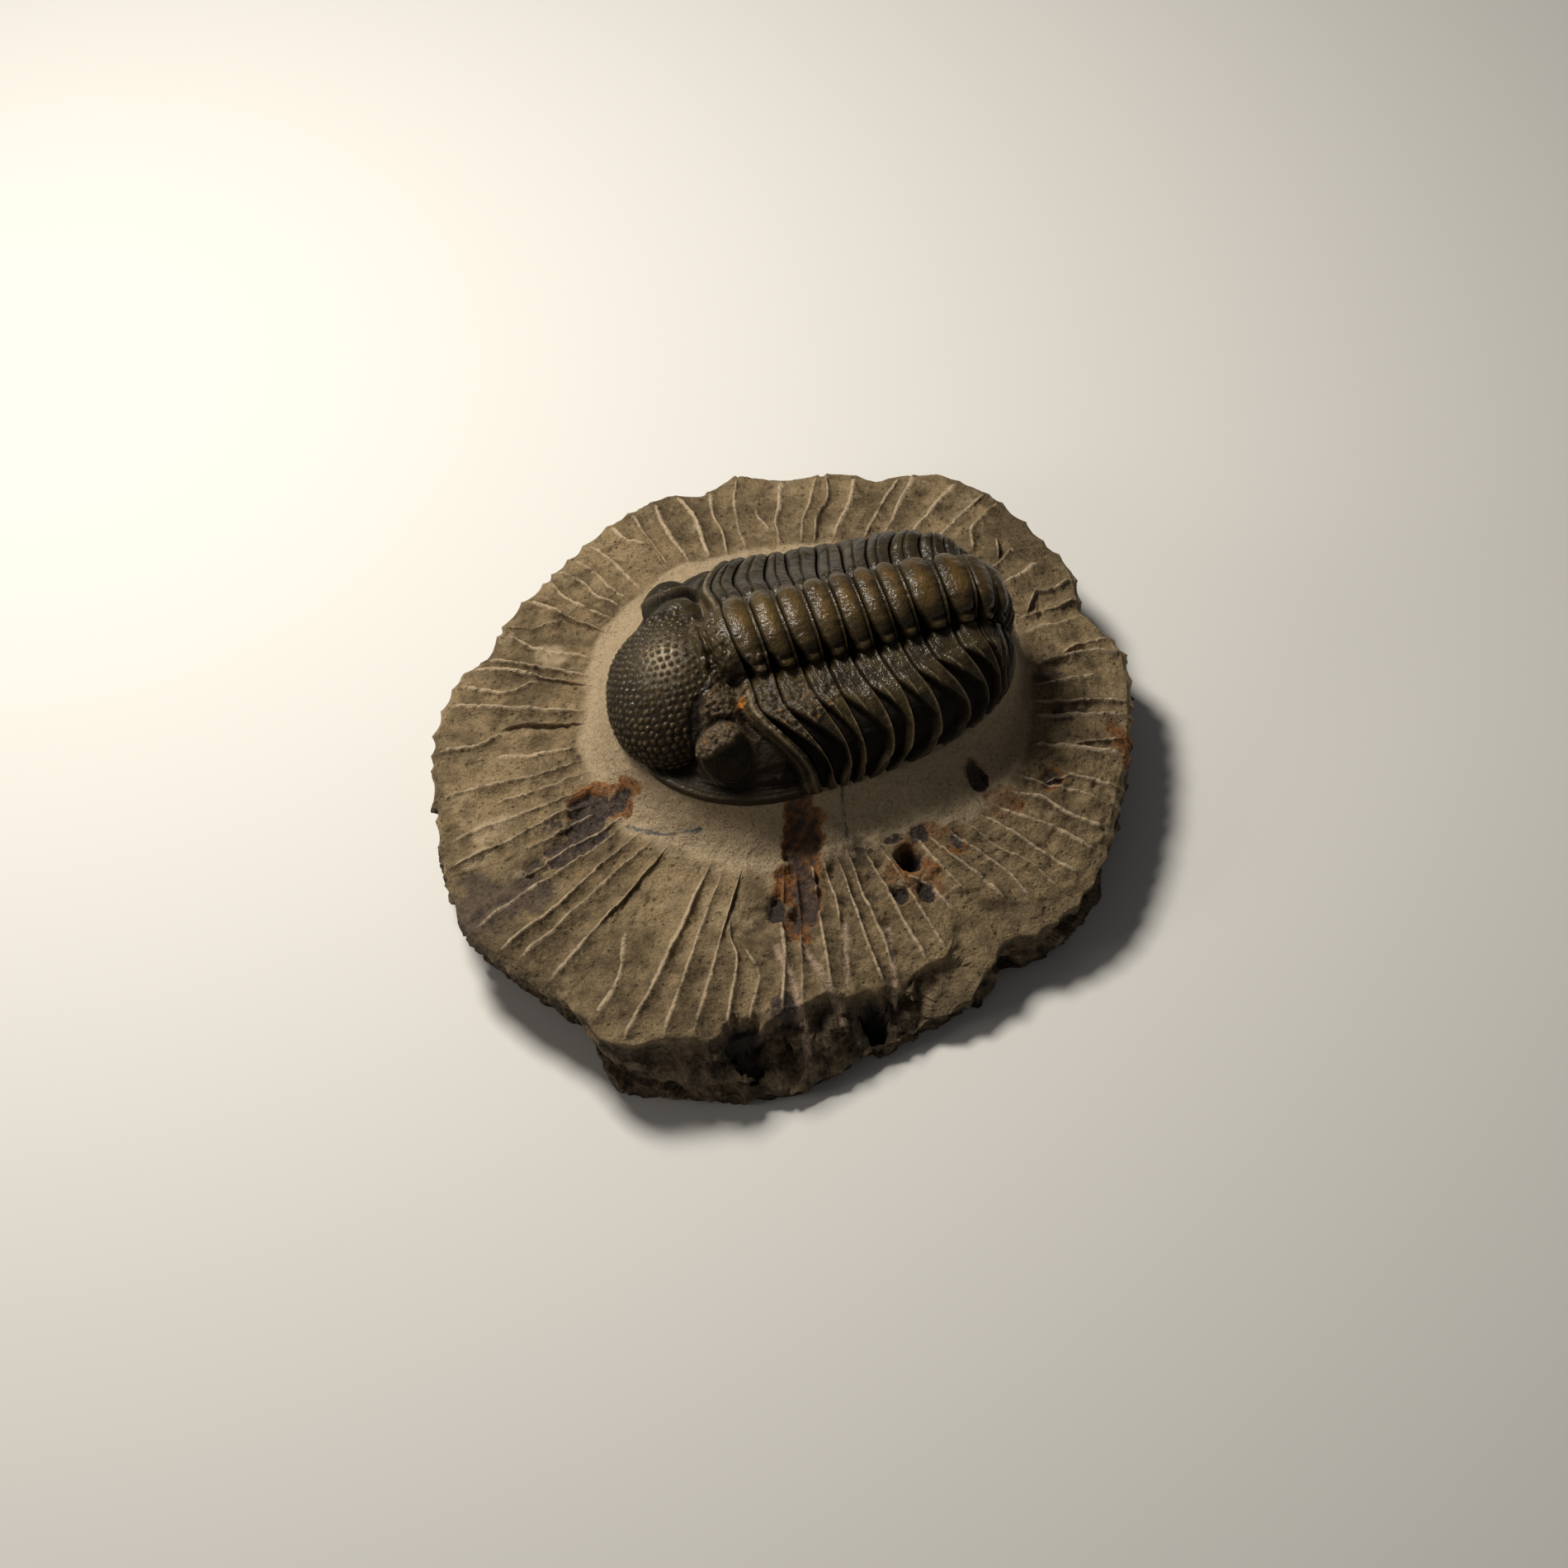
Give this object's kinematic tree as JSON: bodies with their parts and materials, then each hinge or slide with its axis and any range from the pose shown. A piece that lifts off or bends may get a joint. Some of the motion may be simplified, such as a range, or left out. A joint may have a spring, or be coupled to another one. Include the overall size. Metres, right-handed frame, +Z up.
{
  "type": "phacopid trilobite fossil on limestone matrix",
  "caption": "Arched trilobite with knobbly head, turret eyes and ringed thorax, standing on a raised pedestal in a fluted limestone slab with a broken front edge.",
  "frame": {"origin": "on the slab's flat underside, about below its middle", "axes": "+X along the animal from head to tail, +Y to its right-hand side as it faces -X, +Z up out of the slab"},
  "size_m": [0.107, 0.1049, 0.0367],
  "materials": {
    "matrix": "matt tooled",
    "shell": "semi-gloss, waxed"
  },
  "bodies": {
    "root": {"matrix": "matrix", "cephalon": "shell", "thoracic_segment_01": "shell", "thoracic_segment_02": "shell", "thoracic_segment_03": "shell", "thoracic_segment_04": "shell", "thoracic_segment_05": "shell", "thoracic_segment_06": "shell", "thoracic_segment_07": "shell", "thoracic_segment_08": "shell", "thoracic_segment_09": "shell", "thoracic_segment_10": "shell", "thoracic_segment_11": "shell", "pygidium": "shell"}
  },
  "joints": []
}
